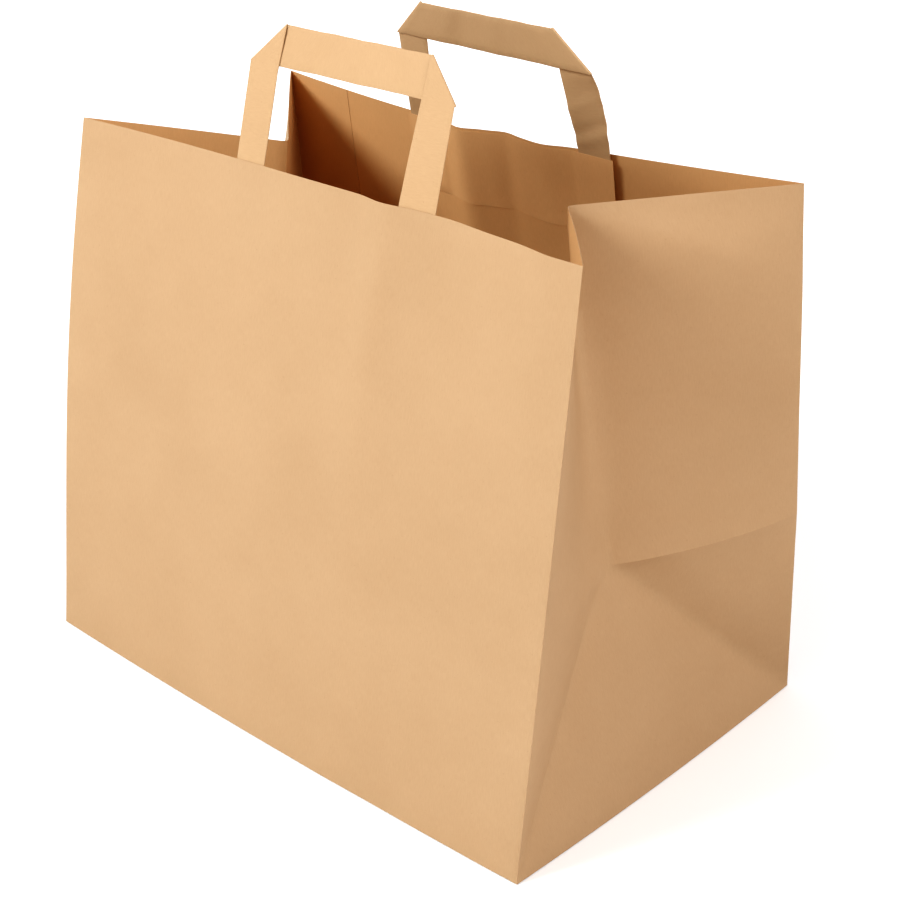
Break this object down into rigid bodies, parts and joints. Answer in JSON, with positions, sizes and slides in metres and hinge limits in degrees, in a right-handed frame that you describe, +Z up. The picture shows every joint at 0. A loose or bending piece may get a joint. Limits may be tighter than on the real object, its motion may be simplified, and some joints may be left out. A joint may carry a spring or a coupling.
{
  "type": "paper carrier bag",
  "caption": "Open paper carrier bag with tucked side gussets, a folded block bottom and flat tape handles glued inside the mouth.",
  "frame": {"origin": "centre of the base, on the surface the bag stands on", "axes": "+Z up, +X along the width to a gusset, -Y out of the front panel"},
  "size_m": [0.3267, 0.2161, 0.3257],
  "materials": {
    "kraft_paper": "matt brown kraft",
    "kraft_tape": "matt brown kraft, folded into tape",
    "kraft_patch": "matt brown kraft"
  },
  "bodies": {
    "root": {"bag_body": "kraft_paper", "front_handle": "kraft_tape", "back_handle": "kraft_tape", "front_handle_patch": "kraft_patch", "back_handle_patch": "kraft_patch"}
  },
  "joints": []
}
